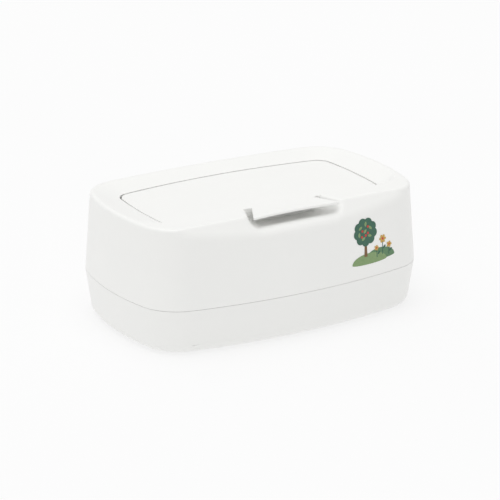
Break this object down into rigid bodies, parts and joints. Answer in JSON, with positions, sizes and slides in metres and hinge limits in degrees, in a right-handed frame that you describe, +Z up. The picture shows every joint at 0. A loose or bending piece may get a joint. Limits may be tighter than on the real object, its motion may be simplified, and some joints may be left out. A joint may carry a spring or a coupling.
{
  "type": "baby wipes box",
  "caption": "Refillable baby wipes box: tray, lift-off housing with dished top and flush hinged lid with a finger tab, and a weighted plate that holds the wipes down.",
  "frame": {"origin": "on the table under the middle of the box", "axes": "+X along the box to the viewer's right, +Z up, front with the finger tab towards -Y"},
  "size_m": [0.245, 0.1592, 0.0966],
  "materials": {
    "housing_plastic": "satin moulded plastic",
    "inner_plastic": "matt moulded plastic",
    "seal_rubber": "soft translucent silicone",
    "foot_rubber": "matt rubber",
    "screw_steel": "zinc plated steel",
    "pin_steel": "drawn stainless steel",
    "weight_steel": "rolled steel plate"
  },
  "bodies": {
    "tray": {"lower_tray": "housing_plastic", "tray_gasket": "seal_rubber", "foot_front_left": "foot_rubber", "foot_front_right": "foot_rubber", "foot_rear_left": "foot_rubber", "foot_rear_right": "foot_rubber"},
    "housing": {"upper_housing": "housing_plastic", "opening_frame": "inner_plastic", "frame_gasket": "seal_rubber", "frame_screws": "screw_steel", "hinge_pin_left": "pin_steel", "hinge_pin_right": "pin_steel"},
    "lid": {"lid_panel": "housing_plastic", "lid_liner": "inner_plastic", "lid_seal": "seal_rubber"},
    "plate": {"press_plate": "inner_plastic", "plate_cover": "inner_plastic", "plate_weight_left": "weight_steel", "plate_weight_right": "weight_steel", "plate_screws": "screw_steel"}
  },
  "joints": [
    {"name": "housing_lift", "type": "slide", "parent": "tray", "child": "housing", "axis": [0, 0, 1], "range_m": [0, 0.08]},
    {"name": "lid_hinge", "type": "hinge", "parent": "housing", "child": "lid", "pos_m": [0, 0.029, 0.0872], "axis": [-1, 0, 0], "range_deg": [0, 100]},
    {"name": "plate_rise", "type": "slide", "parent": "tray", "child": "plate", "axis": [0, 0, 1], "range_m": [0, 0.043]}
  ]
}
